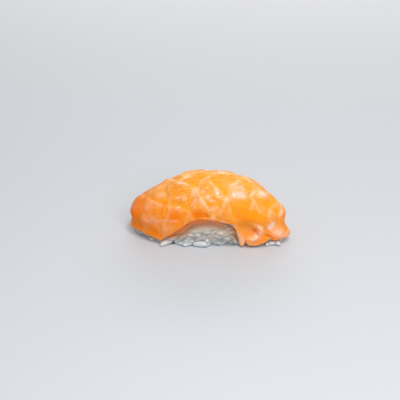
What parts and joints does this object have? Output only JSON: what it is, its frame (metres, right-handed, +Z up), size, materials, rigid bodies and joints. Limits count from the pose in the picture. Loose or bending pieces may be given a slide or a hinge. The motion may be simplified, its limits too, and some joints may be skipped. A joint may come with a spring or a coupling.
{
  "type": "salmon nigiri",
  "caption": "Hand-pressed loaf of sushi rice under a draped slice of raw salmon with crossed score cuts.",
  "frame": {"origin": "on the surface the rice stands on, under the middle of the loaf", "axes": "+Z up, X along the loaf with the lobe that touches the surface at +X, the raised front hem facing -Y"},
  "size_m": [0.0705, 0.0291, 0.0291],
  "materials": {
    "rice": "moist translucent cooked rice, greyish white",
    "salmon": "wet glossy raw salmon, amber orange with paler cut edges"
  },
  "bodies": {
    "root": {"rice": "rice", "salmon": "salmon"}
  },
  "joints": []
}
